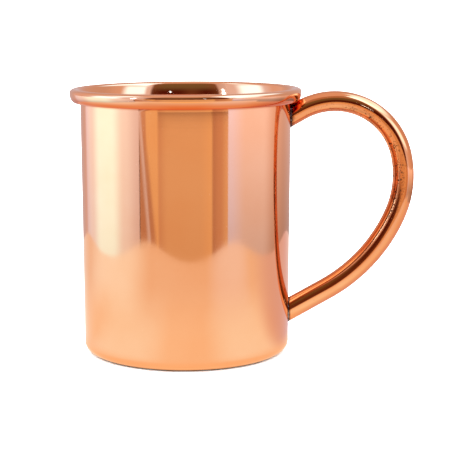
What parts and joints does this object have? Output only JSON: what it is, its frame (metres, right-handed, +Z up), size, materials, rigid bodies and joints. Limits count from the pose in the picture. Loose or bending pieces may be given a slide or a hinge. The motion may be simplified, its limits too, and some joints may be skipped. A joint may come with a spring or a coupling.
{
  "type": "copper mug",
  "caption": "Straight-walled copper mug with a rolled rim and a bent tube handle brazed to the wall at both ends.",
  "frame": {"origin": "where the cup's axis meets the table, in the plane of the ring that the cup stands on", "axes": "+Z up along the cup's axis, +X towards the handle, +Y across the handle"},
  "size_m": [0.1319, 0.088, 0.1013],
  "materials": {
    "cup_copper": "bright polished copper sheet",
    "handle_copper": "bright polished copper tube, finely pitted inside the bend",
    "braze": "silver brazing alloy, dull and darkened by heat"
  },
  "bodies": {
    "root": {"cup": "cup_copper", "handle": "handle_copper", "upper_braze_joint": "braze", "lower_braze_joint": "braze"}
  },
  "joints": []
}
